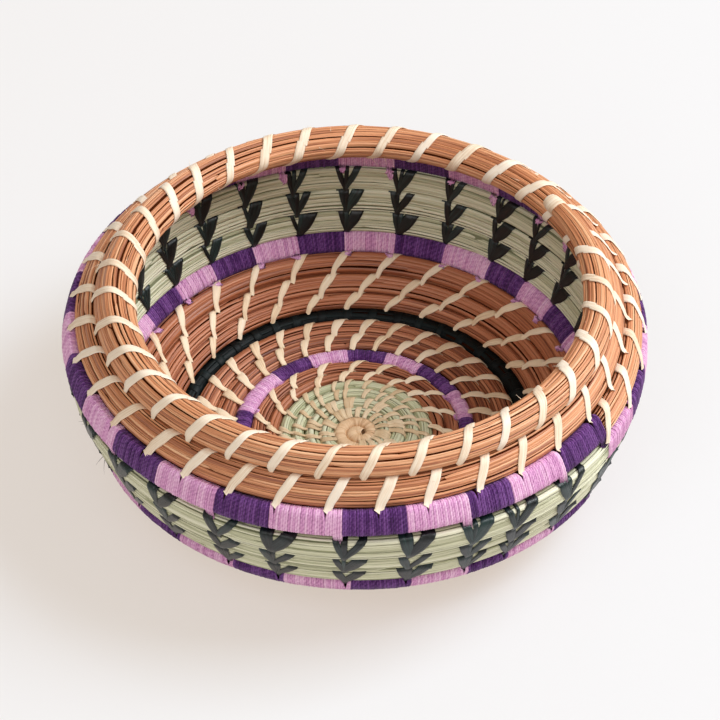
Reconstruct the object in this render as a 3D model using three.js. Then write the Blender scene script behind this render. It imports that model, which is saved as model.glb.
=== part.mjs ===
import * as THREE from 'three';

// A coiled pine needle basket. One long bundle of grass and pine needles winds from the middle
// of the floor to the rim, and raffia and thread are sewn round it, row after row.
// Millimetres, +Z up. The basket stands on its black base ring at z = 0, centred on the Z axis.

// Rows of the coil in each band, from the middle of the floor to the rim, in turns
const START_TURNS = 1.5;
const GRASS_FLOOR_TURNS = 3;
const NEEDLE_FLOOR_TURNS = 2;
const FLOOR_BAND_TURNS = 1;
const OUTER_FLOOR_TURNS = 2;
const BASE_RING_TURNS = 1;
const LOWER_WALL_TURNS = 3;
const LOWER_BAND_TURNS = 1;
const GRASS_WALL_TURNS = 3;
const UPPER_BAND_TURNS = 1;
const RIM_TURNS = 2.2;

// Thickness of the coil at the start, and where each band ends
const START_COIL = 4.1;
const START_END_COIL = 3.7;
const GRASS_FLOOR_COIL = 3.1;
const NEEDLE_FLOOR_COIL = 3.4;
const FLOOR_BAND_COIL = 4.6;
const OUTER_FLOOR_COIL = 5;
const BASE_RING_COIL = 4;
const LOWER_WALL_COIL = 5.7;
const LOWER_BAND_COIL = 6.1;
const GRASS_WALL_COIL = 6.5;
const UPPER_BAND_COIL = 6.9;
const RIM_COIL = 7.7;
const COIL_HEIGHT_SHARE = 0.94;

// The rim's second row is fatter on its left: by what share, how wide and in which direction
const RIM_SWELL = 0.2;
const RIM_SWELL_ANGLE = 180;
const RIM_SWELL_SPREAD = 50;

// Lean of the wall from flat, in degrees, at its foot and where each band ends
const WALL_FOOT_LEAN = 30;
const LOWER_WALL_LEAN = 41;
const LOWER_BAND_LEAN = 62;
const GRASS_WALL_LEAN = 80;
const UPPER_BAND_LEAN = 122;

// Lean of the rim after a number of its turns: its last, part row stands more upright
const RIM_LEANS = [[1, 138], [1.5, 104], [1.7, 113]];

// How far each mm of height is off the middle: the bowl sits a little to the left and the front
const SLANT_X = -0.019;
const SLANT_Y = -0.061;

// Direction in which each band changes to the next, in degrees from +X
const CHANGE_ANGLE = -32;

// Facets of the model: steps in one turn of the coil
const STEPS = 18;

// Raffia and thread, and the room that they pass through
const RAFFIA_THICK = 0.34;
const RAFFIA_WIDE = 1.5;
const FLOOR_RAFFIA_WIDE = 1.1;
const FERN_RAFFIA_WIDE = 2.2;
const RIM_RAFFIA_WIDE = 2.6;
const SEWING_GAP = 0.31;
const FACE_GAP = 0.4;
const END_GAP = 0.3;
const WRAP_WALL = 0.5;
const THREAD_WALL = 0.75;
const CORE_GAP = 0.36;

// How far the black base ring stands below the sewing under the floor
const BASE_DROP = 0.25;
const FOOT_WALL = 0.8;

// Stitches in one turn, and the share of one stitch's step that its outer side leans by
const FLOOR_STITCHES = 10.5;
const FLOOR_STITCH_LEAN = 0.25;
const OUTER_FLOOR_STITCHES = 14.4;
const OUTER_FLOOR_STITCH_LEAN = 0.42;
const LOWER_WALL_STITCHES = 28.4;
const LOWER_WALL_STITCH_LEAN = 0.44;
const FERN_LEAN = 0.3;
const RIM_STITCHES = 35.25;
const RIM_STITCH_LEAN = 0.5;

// Colour blocks of the thread round each band, pink and purple in turn, as runs of blocks:
// how many, and the degrees that they take together. The maker spaced them by eye.
const FLOOR_BAND_BLOCKS = [[3, 63], [1, 25], [3, 60], [1, 21], [1, 30], [7, 161]];
const WALL_BAND_BLOCKS = [[10, 112], [14, 176], [6, 72]];

// Rim end: the needles taper off and a raffia knot ties them down
const TAPER_TURNS = 0.09;
const TAPER_SHARE = 0.5;
const KNOT_LENGTH = 5;
const KNOT_WALL = 1.1;
const KNOT_INSET = 1.2;

const SEAM = RAFFIA_THICK + 2 * SEWING_GAP;

// Colour and roughness of each material
const needles = { color: 0xc98a5e, roughness: 0.6 };
const grass = { color: 0xc8cfa8, roughness: 0.7 };
const creamRaffia = { color: 0xf0dcb8, roughness: 0.55 };
const blackRaffia = { color: 0x1e2a2a, roughness: 0.45 };
const pink = { color: 0xd9a0d4, roughness: 0.6 };
const purple = { color: 0x5b2c7b, roughness: 0.6 };

// The bands in order: turns, thickness where each one ends, and lean where each wall band ends.
// The rim's leans are its own.
const bands = [
  { name: 'start', turns: START_TURNS, coil: START_END_COIL },
  { name: 'grassFloor', turns: GRASS_FLOOR_TURNS, coil: GRASS_FLOOR_COIL },
  { name: 'needleFloor', turns: NEEDLE_FLOOR_TURNS, coil: NEEDLE_FLOOR_COIL },
  { name: 'floorBand', turns: FLOOR_BAND_TURNS, coil: FLOOR_BAND_COIL },
  { name: 'outerFloor', turns: OUTER_FLOOR_TURNS, coil: OUTER_FLOOR_COIL },
  { name: 'baseRing', turns: BASE_RING_TURNS, coil: BASE_RING_COIL },
  { name: 'lowerWall', turns: LOWER_WALL_TURNS, coil: LOWER_WALL_COIL, lean: LOWER_WALL_LEAN },
  { name: 'lowerBand', turns: LOWER_BAND_TURNS, coil: LOWER_BAND_COIL, lean: LOWER_BAND_LEAN },
  { name: 'grassWall', turns: GRASS_WALL_TURNS, coil: GRASS_WALL_COIL, lean: GRASS_WALL_LEAN },
  { name: 'upperBand', turns: UPPER_BAND_TURNS, coil: UPPER_BAND_COIL, lean: UPPER_BAND_LEAN },
  { name: 'rim', turns: RIM_TURNS, coil: RIM_COIL },
];
const zone = {};
let turnCount = 0;
for (const band of bands) {
  band.from = turnCount;
  turnCount += band.turns;
  band.to = turnCount;
  zone[band.name] = band;
}
const lastTurn = turnCount;

// Direction of the coil after u turns, in degrees from +X
const directionAt = (u) => CHANGE_ANGLE + 360 * (u - START_TURNS);

// The value after u turns, straight between knots of turns and value
function between(knots, u) {
  const next = knots.findIndex((knot) => knot[0] >= u);
  if (next < 0) return knots[knots.length - 1][1];
  if (next === 0) return knots[0][1];
  const [[fromTurn, from], [toTurn, to]] = [knots[next - 1], knots[next]];
  return from + (to - from) * (u - fromTurn) / (toTurn - fromTurn);
}

// Thickness of the coil after u turns
const coilKnots = [[0, START_COIL], ...bands.map((band) => [band.to, band.coil])];
const swellTurn = zone.rim.from + 1 + (RIM_SWELL_ANGLE - CHANGE_ANGLE) / 360;
function coilAt(u) {
  const off = 360 * (u - swellTurn) / RIM_SWELL_SPREAD;
  return between(coilKnots, u) * (1 + RIM_SWELL * Math.exp(-off * off));
}
const halfCoil = (u) => coilAt(u) / 2;

// Lean, in radians, of the line from the row under it to the coil after u turns: 0 on the floor
const leanKnots = [[zone.baseRing.to, WALL_FOOT_LEAN]];
for (const band of bands) {
  if (band.lean !== undefined) leanKnots.push([band.to, band.lean]);
}
for (const [turns, lean] of RIM_LEANS) leanKnots.push([zone.rim.from + turns, lean]);
function leanAt(u) {
  if (u <= zone.baseRing.to) return 0;
  return THREE.MathUtils.degToRad(between(leanKnots, u - 0.5));
}

// The floor's sewing clears the ground by BASE_DROP, and the black base ring stands on z = 0
const sewingOut = FACE_GAP + RAFFIA_THICK;
const floorLevel = halfCoil(zone.baseRing.from) * COIL_HEIGHT_SHARE + sewingOut + BASE_DROP;

// Centre line of the coil: each turn lies one seam off the turn before it, along the lean, and
// the higher rows slip sideways with the slant. At each station it has the direction to the
// next row, and the direction into the bowl.
const slant = new THREE.Vector3(SLANT_X, SLANT_Y, 0);
const stationCount = Math.ceil(lastTurn * STEPS) + 1;
const stations = [];
for (let k = 0; k < stationCount; k += 1) {
  const u = k / STEPS;
  const under = stations[k - STEPS];
  const station = { r: (START_COIL + SEAM) * (u + 0.5), h: floorLevel };
  const turn = THREE.MathUtils.degToRad(directionAt(u));
  const out = new THREE.Vector3(Math.cos(turn), Math.sin(turn), 0);
  if (under) {
    const lean = leanAt(u);
    const slip = out.dot(slant) * Math.sin(lean) * Math.cos(lean);
    const apart = (halfCoil(u) + halfCoil(u - 1) + SEAM) / (1 + slip);
    station.r = under.r + apart * Math.cos(lean);
    station.h = under.h + apart * Math.sin(lean);
  }
  const tilt = u <= zone.baseRing.to ? 0 : (leanAt(u) + leanAt(u + 1)) / 2;
  const up = new THREE.Vector3(0, 0, 1);
  station.centre = out.clone().multiplyScalar(station.r).addScaledVector(up, station.h);
  station.centre.addScaledVector(slant, station.h - floorLevel);
  station.across = out.clone().multiplyScalar(Math.cos(tilt)).addScaledVector(up, Math.sin(tilt));
  station.inward = out.clone().multiplyScalar(-Math.sin(tilt)).addScaledVector(up, Math.cos(tilt));
  station.along = new THREE.Vector3(-Math.sin(turn), Math.cos(turn), 0);
  stations.push(station);
}

// A point at u turns, s mm from the centre line towards the next row, n mm into the bowl and
// t mm along. Between two stations it runs straight, so that nested pieces keep their gaps.
function place(u, s, n, t = 0) {
  const at = u * STEPS;
  const k = Math.min(Math.floor(at), stationCount - 2);
  const point = new THREE.Vector3();
  for (const [station, weight] of [[stations[k], k + 1 - at], [stations[k + 1], at - k]]) {
    point.addScaledVector(station.centre, weight);
    point.addScaledVector(station.across, s * weight);
    point.addScaledVector(station.inward, n * weight);
    point.addScaledVector(station.along, t * weight);
  }
  return point;
}

// Turns that a length along the coil takes at u turns
function turnsOf(length, u) {
  const centre = place(u, 0, 0);
  return length / (2 * Math.PI * Math.hypot(centre.x, centre.y));
}

// The stations that lie between u0 and u1 turns
function stationsBetween(u0, u1) {
  const list = [];
  const tiny = 1e-6;
  for (let k = Math.ceil(u0 * STEPS + tiny); k < u1 * STEPS - tiny; k += 1) list.push(k / STEPS);
  return list;
}

// The places where a piece from u0 to u1 turns has a section, clear of its neighbours' ends
function sectionsOf(u0, u1) {
  const start = u0 + turnsOf(END_GAP / 2, u0);
  const end = u1 - turnsOf(END_GAP / 2, u1);
  return [start, ...stationsBetween(start, end), end];
}

// A mesh whose faces point out, whichever way round they were listed
function body(name, points, faces, look) {
  let volume = 0;
  for (const [a, b, c] of faces) volume += points[a].dot(points[b].clone().cross(points[c]));
  const order = volume < 0 ? [0, 2, 1] : [0, 1, 2];
  const geometry = new THREE.BufferGeometry();
  const flat = points.flatMap((point) => point.toArray());
  geometry.setAttribute('position', new THREE.Float32BufferAttribute(flat, 3));
  geometry.setIndex(faces.flatMap((face) => order.map((i) => face[i])));
  geometry.computeVertexNormals();
  const mesh = new THREE.Mesh(geometry, new THREE.MeshStandardMaterial({ ...look, metalness: 0 }));
  mesh.name = name;
  return mesh;
}

const quad = (a, b, c, d) => [[a, b, c], [a, c, d]];

// Faces of a solid through rings of the same number of points, with flat ends. Each side is
// split along the diagonal that keeps a strand full where it turns over at a seam.
function skinned(ringCount, size) {
  const faces = [];
  for (let k = 0; k + 1 < ringCount; k += 1) {
    for (let i = 0; i < size; i += 1) {
      const j = (i + 1) % size;
      faces.push(...quad(k * size + j, (k + 1) * size + j, (k + 1) * size + i, k * size + i));
    }
  }
  const last = (ringCount - 1) * size;
  for (let i = 1; i + 1 < size; i += 1) {
    faces.push([i + 1, i, 0]);
    faces.push([last, last + i, last + i + 1]);
  }
  return faces;
}

// Six-sided section of the coil, half w wide, its corners towards the rows next to it.
// down is how far it reaches below the centre line, out of the bowl.
function hexagon(w, down = w * COIL_HEIGHT_SHARE) {
  const up = w * COIL_HEIGHT_SHARE;
  return [[w, 0], [w / 2, up], [-w / 2, up], [-w, 0], [-w / 2, -down], [w / 2, -down]];
}

// One unbroken bundle of the coil from u0 to u1 turns, by its half width there
function bundle(name, u0, u1, halfWide, look) {
  const places = sectionsOf(u0, u1);
  const points = places.flatMap((u) => hexagon(halfWide(u)).map(([s, n]) => place(u, s, n)));
  const mesh = body(name, points, skinned(places.length, 6), look);
  if (u1 - u0 > 1) printLeastGap(mesh, places, halfWide);
  return mesh;
}

// Least gap between a bundle and its own next turn, from their facing corners
function printLeastGap(mesh, places, halfWide) {
  let least = Infinity;
  for (const u of places) {
    if (u - 1 < places[0]) continue;
    const inner = place(u - 1, halfWide(u - 1), 0);
    least = Math.min(least, inner.distanceTo(place(u, -halfWide(u), 0)));
  }
  console.log(`${mesh.name}: least gap to itself ${least.toFixed(2)} mm`);
}

// A sleeve of raffia laid side by side round the coil from u0 to u1 turns
function sleeve(name, u0, u1, outer, inner, look) {
  const places = sectionsOf(u0, u1);
  const points = [];
  const faces = [];
  for (const u of places) {
    for (const [s, n] of [...outer(u), ...inner(u)]) points.push(place(u, s, n));
  }
  const last = 12 * (places.length - 1);
  for (let i = 0; i < 6; i += 1) {
    const j = (i + 1) % 6;
    for (let a = 0; a < last; a += 12) {
      faces.push(...quad(a + i, a + j, a + 12 + j, a + 12 + i));
      faces.push(...quad(a + 6 + j, a + 6 + i, a + 18 + i, a + 18 + j));
    }
    faces.push(...quad(i, 6 + i, 6 + j, j));
    faces.push(...quad(last + j, last + 6 + j, last + 6 + i, last + i));
  }
  return body(name, points, faces, look);
}

// Turn counts at the edges of a band's colour blocks
function blockEdges(from, runs) {
  const edges = [from];
  for (const [count, degrees] of runs) {
    const start = edges[edges.length - 1];
    for (let i = 1; i <= count; i += 1) edges.push(start + i * degrees / count / 360);
  }
  return edges;
}

// Section of one colour of thread wrapped round the core. It stops short of the other colour's
// carried strand, which lies in the same wall on its outer face towards the row below.
// Its outer face and its inner one each have this many corners.
const WRAP_CORNERS = 7;
function threadSection(u, isFirst) {
  const w = halfCoil(u);
  const outside = hexagon(w);
  const inside = hexagon(w - THREAD_WALL);
  const along = (from, to, share) => [0, 1].map((i) => from[i] + (to[i] - from[i]) * share);
  const side = (loop, from, to) => Math.hypot(loop[to][0] - loop[from][0], loop[to][1] - loop[from][1]);
  const order = isFirst ? [4, 5, 0, 1, 2] : [3, 2, 1, 0, 5];
  const near = isFirst ? 4 : 3;
  const far = isFirst ? 3 : 4;
  const wall = [outside, inside].map((loop) => {
    const carried = along(loop[far], loop[near], 0.5 + END_GAP / 2 / side(loop, far, near));
    const corners = order.map((i) => loop[i]);
    const stop = along(loop[far], corners[4], FACE_GAP / side(loop, far, order[4]));
    return [carried, ...corners, stop];
  });
  return [...wall[0], ...wall[1].reverse()];
}

// One colour of thread: a wrap over its own blocks, joined by a strand carried past the others
function thread(name, edges, isFirst, look) {
  const places = [];
  const [from, to] = [edges[0], edges[edges.length - 1]];
  const first = from + turnsOf(END_GAP / 2, from);
  const last = to - turnsOf(END_GAP / 2, to);
  let wraps = isFirst;
  places.push({ u: first, wraps });
  for (let i = 1; i < edges.length; i += 1) {
    const gap = turnsOf(END_GAP / 2, edges[i]) * (wraps ? -1 : 1);
    const edge = i + 1 < edges.length ? edges[i] + gap : last;
    for (const u of stationsBetween(places[places.length - 1].u, edge)) places.push({ u, wraps });
    wraps = !wraps;
    places.push({ u: edge, wraps });
  }
  // A section goes along the wrap's outer face and comes back along its inner one
  const size = 2 * WRAP_CORNERS;
  const inside = (i) => size - 1 - i;
  const side = (i) => [i, i + 1, inside(i + 1), inside(i)];
  const around = (corners) => corners.map((i, at) => [i, corners[(at + 1) % corners.length]]);
  const strand = around(side(0));
  const wrap = around(Array.from({ length: size }, (_, i) => i));
  const wrapEnd = Array.from({ length: WRAP_CORNERS - 2 }, (_, i) => side(i + 1));
  const points = [];
  const indexOf = new Map();
  const used = (k, i) => {
    const key = size * k + i;
    if (!indexOf.has(key)) {
      indexOf.set(key, points.length);
      const [s, n] = threadSection(places[k].u, isFirst)[i];
      points.push(place(places[k].u, s, n));
    }
    return indexOf.get(key);
  };
  const faces = [];
  const addEnd = (k, parts, isStart) => {
    for (const part of parts) {
      const corners = (isStart ? part : [...part].reverse()).map((i) => used(k, i));
      faces.push(...quad(...corners));
    }
  };
  for (let k = 0; k + 1 < places.length; k += 1) {
    for (const [i, j] of places[k].wraps ? wrap : strand) {
      faces.push(...quad(used(k, j), used(k, i), used(k + 1, i), used(k + 1, j)));
    }
    if (k > 0 && places[k].wraps !== places[k - 1].wraps) addEnd(k, wrapEnd, places[k].wraps);
  }
  const end = places.length - 1;
  addEnd(0, places[0].wraps ? [side(0), ...wrapEnd] : [side(0)], true);
  addEnd(end, places[end - 1].wraps ? [side(0), ...wrapEnd] : [side(0)], false);
  return body(name, points, faces, look);
}

// Turn counts where the stitches of even sewing start, and where it ends
function evenStitches(u0, u1, perTurn) {
  return Array.from({ length: Math.floor((u1 - u0) * perTurn) + 1 }, (_, i) => u0 + i / perTurn);
}

// One strand of raffia sewn over the coil. Outside it crosses a row towards the next one, goes
// through the seam, and comes back across the inside to where the next stitch starts.
function sewing(name, starts, lean, wide, look) {
  const points = [];
  let rings = 0;
  const addRing = (u, s, n, sideways) => {
    const toFace = Math.sign(n);
    for (const [out, t] of [[-1, -wide / 2], [-1, wide / 2], [1, 0]]) {
      const deep = out * RAFFIA_THICK / 2;
      points.push(place(u, s + sideways * deep, n + toFace * deep, t));
    }
    rings += 1;
  };
  for (let i = 0; i + 1 < starts.length; i += 1) {
    const start = starts[i];
    const next = starts[i + 1];
    const crossed = start + lean * (next - start);
    const reach = (u) => halfCoil(u) + SEAM / 2;
    const height = (u) => halfCoil(u) * COIL_HEIGHT_SHARE + FACE_GAP + RAFFIA_THICK / 2;
    addRing(start, -reach(start), -height(start), -1);
    const bends = leanAt(start) > 0 ? stationsBetween(start, crossed) : [];
    for (const u of bends) {
      const share = (u - start) / (crossed - start);
      addRing(u, reach(u) * (2 * share - 1), -height(u), 0);
    }
    addRing(crossed, reach(crossed), -height(crossed), 1);
    addRing(crossed, reach(crossed), height(crossed), 1);
    addRing(next, -reach(next), height(next), -1);
  }
  return body(name, points, skinned(rings, 3), look);
}

// Half width of the core inside a wall of raffia or thread
const coreIn = (wall) => (u) => halfCoil(u) - wall - CORE_GAP;
const basket = new THREE.Group();

// The middle of the floor: grass, at first inside a wrap of raffia
const startWrapTo = zone.start.to - 1 / STEPS;
const startOutside = (u) => hexagon(halfCoil(u));
const startInside = (u) => hexagon(halfCoil(u) - WRAP_WALL);
const grassHalf = (u) => (u > startWrapTo + 0.5 / STEPS ? halfCoil(u) : coreIn(WRAP_WALL)(u));
basket.add(bundle('floor_grass_coil', 0, zone.grassFloor.to, grassHalf, grass));
basket.add(sleeve('start_raffia_wrap', 0, startWrapTo, startOutside, startInside, creamRaffia));

// The rest of the floor: needles, a band of thread, and needles again
const { needleFloor, floorBand, outerFloor, baseRing } = zone;
basket.add(bundle('floor_needle_coil', needleFloor.from, needleFloor.to, halfCoil, needles));
basket.add(bundle('floor_band_core', floorBand.from, floorBand.to, coreIn(THREAD_WALL), needles));
basket.add(bundle('outer_floor_coil', outerFloor.from, outerFloor.to, halfCoil, needles));
const floorBlocks = blockEdges(floorBand.from, FLOOR_BAND_BLOCKS);
basket.add(thread('floor_band_pink_thread', floorBlocks, true, pink));
basket.add(thread('floor_band_purple_thread', floorBlocks, false, purple));

// The black base ring, with a flat foot that the basket stands on
const ringOutside = (u) => hexagon(halfCoil(u), floorLevel);
const ringInside = (u) => hexagon(halfCoil(u) - WRAP_WALL, floorLevel - FOOT_WALL);
const ringEnds = [baseRing.from, baseRing.to];
basket.add(bundle('base_ring_core', ...ringEnds, coreIn(WRAP_WALL), needles));
basket.add(sleeve('base_ring_black_raffia', ...ringEnds, ringOutside, ringInside, blackRaffia));

// The wall: needles, a band of thread, grass, a band of thread, and the needle rim
const { lowerWall, lowerBand, grassWall, upperBand, rim } = zone;
const rimHalf = (u) => {
  const taper = Math.max(0, (u - rim.to + TAPER_TURNS) / TAPER_TURNS);
  return halfCoil(u) * (1 - (1 - TAPER_SHARE) * taper);
};
basket.add(bundle('lower_wall_coil', lowerWall.from, lowerWall.to, halfCoil, needles));
basket.add(bundle('lower_band_core', lowerBand.from, lowerBand.to, coreIn(THREAD_WALL), needles));
basket.add(bundle('grass_wall_coil', grassWall.from, grassWall.to, halfCoil, grass));
basket.add(bundle('upper_band_core', upperBand.from, upperBand.to, coreIn(THREAD_WALL), needles));
basket.add(bundle('rim_coil', rim.from, rim.to, rimHalf, needles));
for (const [name, band] of [['lower_band', lowerBand], ['upper_band', upperBand]]) {
  const blocks = blockEdges(band.from, WALL_BAND_BLOCKS);
  basket.add(thread(`${name}_pink_thread`, blocks, true, pink));
  basket.add(thread(`${name}_purple_thread`, blocks, false, purple));
}

// The sewing of each band: where it runs, stitches in a turn, lean and width
const sewn = [
  ['floor_raffia', [zone.grassFloor.from, needleFloor.to, FLOOR_STITCHES], FLOOR_STITCH_LEAN,
    FLOOR_RAFFIA_WIDE],
  ['outer_floor_raffia', [outerFloor.from, outerFloor.to, OUTER_FLOOR_STITCHES],
    OUTER_FLOOR_STITCH_LEAN, FLOOR_RAFFIA_WIDE],
  ['lower_wall_raffia', [lowerWall.from + 1 / STEPS, lowerWall.to, LOWER_WALL_STITCHES],
    LOWER_WALL_STITCH_LEAN, RAFFIA_WIDE],
  ['rim_raffia', [rim.from, rim.to - TAPER_TURNS, RIM_STITCHES], RIM_STITCH_LEAN, RIM_RAFFIA_WIDE],
];
for (const [name, run, lean, wide] of sewn) {
  basket.add(sewing(name, evenStitches(...run), lean, wide, creamRaffia));
}

// A fern stitch at each edge of the colour blocks, in each row of the grass wall
const fernStarts = [grassWall.from];
for (let row = 0; row < GRASS_WALL_TURNS; row += 1) {
  fernStarts.push(...blockEdges(grassWall.from + row, WALL_BAND_BLOCKS).slice(1));
}
basket.add(sewing('black_raffia_ferns', fernStarts, FERN_LEAN, FERN_RAFFIA_WIDE, blackRaffia));

// The knot of raffia round the tapered end of the rim
const knotTo = rim.to - turnsOf(KNOT_INSET, rim.to);
const knotFrom = knotTo - turnsOf(KNOT_LENGTH, rim.to);
const knotOutside = (u) => hexagon(rimHalf(u) + CORE_GAP + KNOT_WALL);
const knotInside = (u) => hexagon(rimHalf(u) + CORE_GAP);
basket.add(sleeve('rim_end_knot', knotFrom, knotTo, knotOutside, knotInside, creamRaffia));

// Centre the basket over the Z axis by its widest points, because a spiral is a little lopsided
const box = new THREE.Box3().setFromObject(basket);
const middle = box.getCenter(new THREE.Vector3());
basket.position.set(-middle.x, -middle.y, 0);
const size = box.getSize(new THREE.Vector3()).toArray().map((value) => value.toFixed(2));
console.log(`over all ${size.join(' x ')} mm`);

export default basket;
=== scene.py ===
import math

import bpy
import numpy as np
from mathutils import Matrix, Vector


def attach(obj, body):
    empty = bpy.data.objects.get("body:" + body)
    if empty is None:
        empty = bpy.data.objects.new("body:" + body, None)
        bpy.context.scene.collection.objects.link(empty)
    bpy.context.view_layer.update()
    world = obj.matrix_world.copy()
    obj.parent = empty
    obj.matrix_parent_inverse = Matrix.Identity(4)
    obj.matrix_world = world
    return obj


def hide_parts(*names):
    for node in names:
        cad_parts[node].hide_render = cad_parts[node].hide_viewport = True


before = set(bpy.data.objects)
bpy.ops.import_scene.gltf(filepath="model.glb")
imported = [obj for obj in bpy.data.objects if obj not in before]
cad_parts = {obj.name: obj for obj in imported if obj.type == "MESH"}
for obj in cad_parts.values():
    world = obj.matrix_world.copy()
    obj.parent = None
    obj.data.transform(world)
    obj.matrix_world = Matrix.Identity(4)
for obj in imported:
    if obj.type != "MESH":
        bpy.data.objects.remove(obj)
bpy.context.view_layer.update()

# Camera. A long lens in front of the basket and well above it, so that the round bowl hardly
# narrows towards the back. Distances are in millimetres.
VIEW_ELEVATION = math.radians(42.752)
VIEW_ROLL = math.radians(0.267)
VIEW_DISTANCE = 1757.2
VIEW_TARGET = Vector((1.012, 1.529, 32.28))
VIEW_LENS = 312.4
MM = 0.001

forward = Vector((0, math.cos(VIEW_ELEVATION), -math.sin(VIEW_ELEVATION)))
level_right = Vector((1, 0, 0))
level_up = level_right.cross(forward)
right = level_right * math.cos(VIEW_ROLL) + level_up * math.sin(VIEW_ROLL)
up = level_up * math.cos(VIEW_ROLL) - level_right * math.sin(VIEW_ROLL)
camera = bpy.data.objects.new("camera", bpy.data.cameras.new("camera"))
camera.data.lens = VIEW_LENS
camera.data.sensor_width = 36
camera.data.clip_end = 10
camera.matrix_world = Matrix((right, up, -forward)).transposed().to_4x4()
camera.matrix_world.translation = (VIEW_TARGET - forward * VIEW_DISTANCE) * MM
bpy.context.scene.collection.objects.link(camera)
bpy.context.scene.camera = camera
bpy.context.scene.view_settings.view_transform = "Standard"


# Table and light. A plain white table that is warm where it is shaded, in a white room. A broad
# soft lamp stands high on the right, so the left of the bowl's inside is bright and the right is
# in the rim's shade.
TABLE_COLOUR = "E4E1DC"
TABLE_LIT = "D9EBFC"
TABLE_SHADED = "FFEFE0"
TABLE_HALF = 1.6
TABLE_GLOW = 0.58
LAMP_PLACE = (1.0, 0.18, 1.22)
LAMP_SIZE = 0.9
LAMP_POWER = 27.0
LAMP_COLOUR = "F7FBFF"
FILL_PLACE = (-0.4, -1.2, 1.3)
FILL_SIZE = 1.3
FILL_POWER = 10.0
ROOM_STRENGTH = 0.36


def colour(hex_value):
    """An sRGB hex value as the linear colour that a shader takes."""
    channels = [int(hex_value[i:i + 2], 16) / 255 for i in (0, 2, 4)]
    return [c / 12.92 if c <= 0.04045 else ((c + 0.055) / 1.055) ** 2.4 for c in channels] + [1]


def node(tree, kind, settings=None, **links):
    """Adds a node. Settings go to its properties; links are its inputs by name or by _number."""
    made = tree.nodes.new("ShaderNode" + kind)
    for key, value in (settings or {}).items():
        setattr(made, key, value)
    for key, value in links.items():
        socket = made.inputs[int(key[1:])] if key[0] == "_" else made.inputs[key.replace("_", " ")]
        if isinstance(value, bpy.types.Node):
            value = value.outputs[0]
        if isinstance(value, bpy.types.NodeSocket):
            tree.links.new(value, socket)
        else:
            socket.default_value = value
    return made


def new_material(name):
    """An empty material and its node tree."""
    material = bpy.data.materials.new(name)
    material.use_nodes = True
    material.node_tree.nodes.clear()
    return material, material.node_tree


table_mesh = bpy.data.meshes.new("table")
corners = [(x * TABLE_HALF, y * TABLE_HALF, 0) for x, y in ((-1, -1), (1, -1), (1, 1), (-1, 1))]
table_mesh.from_pydata(corners, [], [(0, 1, 2, 3)])
table = bpy.data.objects.new("table", table_mesh)
bpy.context.scene.collection.objects.link(table)
# Matt white board, which takes only soft shade. It glows a little to the camera and to shiny faces,
# so that it is as white as in the photograph and still holds the basket's shadow.
table_paint, tree = new_material("matt_white_table")
seen = node(tree, "LightPath")
seen = node(tree, "Math", {"operation": "MAXIMUM"}, _0=seen.outputs["Is Camera Ray"],
            _1=seen.outputs["Is Glossy Ray"])
share = node(tree, "Math", {"operation": "MULTIPLY"}, _0=seen, _1=TABLE_GLOW)
tint = node(tree, "Mix", {"data_type": "RGBA"}, _0=seen, _6=colour(TABLE_COLOUR), _7=colour(TABLE_LIT))
paint = node(tree, "BsdfDiffuse", Color=tint.outputs[2])
glow = node(tree, "Emission", Color=colour(TABLE_SHADED), Strength=1.0)
mixed = node(tree, "MixShader", _0=share, _1=paint, _2=glow)
node(tree, "OutputMaterial", Surface=mixed)
table_mesh.materials.append(table_paint)

for name, place, size, power in (
    ("soft_lamp_right", LAMP_PLACE, LAMP_SIZE, LAMP_POWER),
    ("fill_lamp_front", FILL_PLACE, FILL_SIZE, FILL_POWER),
):
    lamp = bpy.data.objects.new(name, bpy.data.lights.new(name, "AREA"))
    lamp.data.size = size
    lamp.data.color = colour(LAMP_COLOUR)[:3]
    lamp.data.energy = power
    lamp.location = place
    lamp.rotation_euler = (-Vector(place)).to_track_quat("-Z", "Y").to_euler()
    bpy.context.scene.collection.objects.link(lamp)

room = bpy.context.scene.world or bpy.data.worlds.new("room")
bpy.context.scene.world = room
room.use_nodes = True
tree = room.node_tree
tree.nodes.clear()
walls = node(tree, "Background", Color=colour("FFEEDC"), Strength=ROOM_STRENGTH)
backdrop = node(tree, "Background", Color=colour("F9F8F6"), Strength=1.0)
seen = node(tree, "LightPath").outputs["Is Camera Ray"]
node(tree, "OutputWorld", Surface=node(tree, "MixShader", _0=seen, _1=walls, _2=backdrop))


# The coil. One long bundle, wound into a snail from the middle of the floor to the rim, each row
# sewn to the one before it. Everything else is placed along it: u counts its turns, s is mm
# towards the next row, and n is mm into the bowl. These are the turns at which each band ends.
COIL_START = -1.25
START_END = 1.5
GRASS_FLOOR_END = 4.5
NEEDLE_FLOOR_END = 6.5
FLOOR_BAND_END = 7.5
OUTER_FLOOR_END = 9.5
BASE_RING_END = 10.5
LOWER_WALL_END = 13.5
LOWER_BAND_END = 14.5
GRASS_WALL_END = 17.5
UPPER_BAND_END = 18.5
COIL_END = 20.68

# The bundle's thickness in mm at turns of the coil, growing evenly from one to the next
THICKNESS_TURNS = (COIL_START, START_END, GRASS_FLOOR_END, NEEDLE_FLOOR_END, FLOOR_BAND_END,
                   OUTER_FLOOR_END, BASE_RING_END, LOWER_WALL_END, LOWER_BAND_END, GRASS_WALL_END,
                   UPPER_BAND_END, 19.5, COIL_END)
THICKNESS = (3.35, 4.14, 3.52, 4.39, 5.94, 6.27, 4.18, 7.6, 6.76, 7.79, 7.65, 9.25, 8.23)

# The wall's lean in degrees: 0 lies flat, 90 stands upright, and more leans in
LEAN_TURNS = (BASE_RING_END, LOWER_WALL_END, LOWER_BAND_END, GRASS_WALL_END, UPPER_BAND_END, 19.5, 20.05,
              20.18)
LEANS = (36.9, 35.1, 67.3, 77.4, 125.4, 138.7, 100, 120)

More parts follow.
